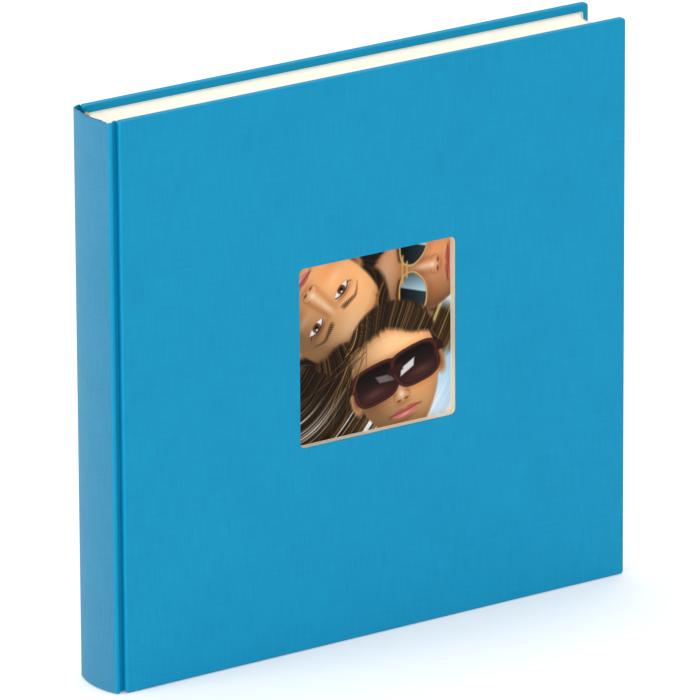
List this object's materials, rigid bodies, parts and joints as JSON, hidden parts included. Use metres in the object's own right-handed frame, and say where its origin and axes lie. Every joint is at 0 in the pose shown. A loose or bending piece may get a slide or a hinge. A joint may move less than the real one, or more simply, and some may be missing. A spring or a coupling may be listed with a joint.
{
  "type": "scrapbook album",
  "caption": "Square cloth-covered book-bound scrapbook album with a rounded spine, cream sewn pages and a die-cut window in the front cover that shows a removable picture.",
  "frame": {"origin": "middle of the footprint of the closed album standing on the tail edges of its covers", "axes": "+Z from tail to head, +X from spine to fore-edge, -Y out of the front cover"},
  "size_m": [0.3144, 0.037, 0.3],
  "materials": {
    "case_cloth": "fine plain-weave book linen, matt",
    "board": "pale grey-cream binder's board",
    "spine_card": "stiff card",
    "endpaper": "cream uncoated endpaper",
    "page": "cream uncoated card",
    "kraft": "kraft paper",
    "gauze": "open-weave gauze",
    "tape": "linen tape",
    "thread": "waxed linen thread",
    "band": "woven band in orange-brown and white stripes",
    "print": "colour print, half gloss"
  },
  "bodies": {
    "spine": {"spine_cloth": "case_cloth", "spine_stiffener": "spine_card", "hollow_tube": "kraft", "spine_lining": "kraft", "mull": "gauze", "sewing_tapes": "tape", "sewing_thread": "thread", "headband": "band", "tailband": "band"},
    "front_cover": {"front_board": "board", "front_cloth": "case_cloth", "front_joint_cloth": "case_cloth", "front_pastedown": "endpaper", "picture_pocket": "page"},
    "window_picture": {"cover_picture": "print"},
    "back_cover": {"back_board": "board", "back_cloth": "case_cloth", "back_joint_cloth": "case_cloth", "back_pastedown": "endpaper"},
    "front_flyleaf": {"front_flyleaf": "endpaper"},
    "rear_flyleaf": {"rear_flyleaf": "endpaper"},
    "section_01": {"section_01": "page"},
    "section_02": {"section_02": "page"},
    "section_03": {"section_03": "page"},
    "section_04": {"section_04": "page"},
    "section_05": {"section_05": "page"},
    "section_06": {"section_06": "page"},
    "section_07": {"section_07": "page"},
    "section_08": {"section_08": "page"},
    "section_09": {"section_09": "page"},
    "section_10": {"section_10": "page"}
  },
  "joints": [
    {"name": "front_cover_open", "type": "hinge", "parent": "spine", "child": "front_cover", "pos_m": [-0.15402, -0.0158, 0.15], "axis": [0, 0, -1], "range_deg": [0, 180]},
    {"name": "back_cover_open", "type": "hinge", "parent": "spine", "child": "back_cover", "pos_m": [-0.15402, 0.0158, 0.15], "axis": [0, 0, 1], "range_deg": [0, 180]},
    {"name": "picture_slide", "type": "slide", "parent": "front_cover", "child": "window_picture", "axis": [0, 0, 1], "range_m": [0, 0.105]},
    {"name": "front_flyleaf_turn", "type": "hinge", "parent": "section_01", "child": "front_flyleaf", "pos_m": [-0.14395, -0.01303, 0.15], "axis": [0, 0, -1], "range_deg": [0, 7.5]},
    {"name": "rear_flyleaf_turn", "type": "hinge", "parent": "section_10", "child": "rear_flyleaf", "pos_m": [-0.14395, 0.01378, 0.15], "axis": [0, 0, 1], "range_deg": [0, 7.5]},
    {"name": "section_01_turn", "type": "hinge", "parent": "spine", "child": "section_01", "pos_m": [-0.14795, -0.01153, 0.15], "axis": [0, 0, -1], "range_deg": [0, 49.6]},
    {"name": "section_02_turn", "type": "hinge", "parent": "spine", "child": "section_02", "pos_m": [-0.14986, -0.00888, 0.15], "axis": [0, 0, -1], "range_deg": [0, 38.8]},
    {"name": "section_03_turn", "type": "hinge", "parent": "spine", "child": "section_03", "pos_m": [-0.15113, -0.00624, 0.15], "axis": [0, 0, -1], "range_deg": [0, 28.9]},
    {"name": "section_04_turn", "type": "hinge", "parent": "spine", "child": "section_04", "pos_m": [-0.15191, -0.00359, 0.15], "axis": [0, 0, -1], "range_deg": [0, 19]},
    {"name": "section_05_turn", "type": "hinge", "parent": "spine", "child": "section_05", "pos_m": [-0.15226, -0.00095, 0.15], "axis": [0, 0, -1], "range_deg": [0, 10]},
    {"name": "section_06_turn", "type": "hinge", "parent": "spine", "child": "section_06", "pos_m": [-0.1522, 0.0017, 0.15], "axis": [0, 0, 1], "range_deg": [0, 10]},
    {"name": "section_07_turn", "type": "hinge", "parent": "spine", "child": "section_07", "pos_m": [-0.15174, 0.00434, 0.15], "axis": [0, 0, 1], "range_deg": [0, 19]},
    {"name": "section_08_turn", "type": "hinge", "parent": "spine", "child": "section_08", "pos_m": [-0.15083, 0.00699, 0.15], "axis": [0, 0, 1], "range_deg": [0, 28.9]},
    {"name": "section_09_turn", "type": "hinge", "parent": "spine", "child": "section_09", "pos_m": [-0.14939, 0.00963, 0.15], "axis": [0, 0, 1], "range_deg": [0, 38.8]},
    {"name": "section_10_turn", "type": "hinge", "parent": "spine", "child": "section_10", "pos_m": [-0.14725, 0.01228, 0.15], "axis": [0, 0, 1], "range_deg": [0, 49.6]}
  ],
  "couplings": [
    {"joint": "front_flyleaf_turn", "follows": "front_cover_open", "ratio": 0.04},
    {"joint": "rear_flyleaf_turn", "follows": "back_cover_open", "ratio": 0.04},
    {"joint": "section_01_turn", "follows": "front_cover_open", "ratio": 0.27},
    {"joint": "section_02_turn", "follows": "front_cover_open", "ratio": 0.21},
    {"joint": "section_03_turn", "follows": "front_cover_open", "ratio": 0.155},
    {"joint": "section_04_turn", "follows": "front_cover_open", "ratio": 0.1},
    {"joint": "section_05_turn", "follows": "front_cover_open", "ratio": 0.05},
    {"joint": "section_06_turn", "follows": "back_cover_open", "ratio": 0.05},
    {"joint": "section_07_turn", "follows": "back_cover_open", "ratio": 0.1},
    {"joint": "section_08_turn", "follows": "back_cover_open", "ratio": 0.155},
    {"joint": "section_09_turn", "follows": "back_cover_open", "ratio": 0.21},
    {"joint": "section_10_turn", "follows": "back_cover_open", "ratio": 0.27}
  ]
}
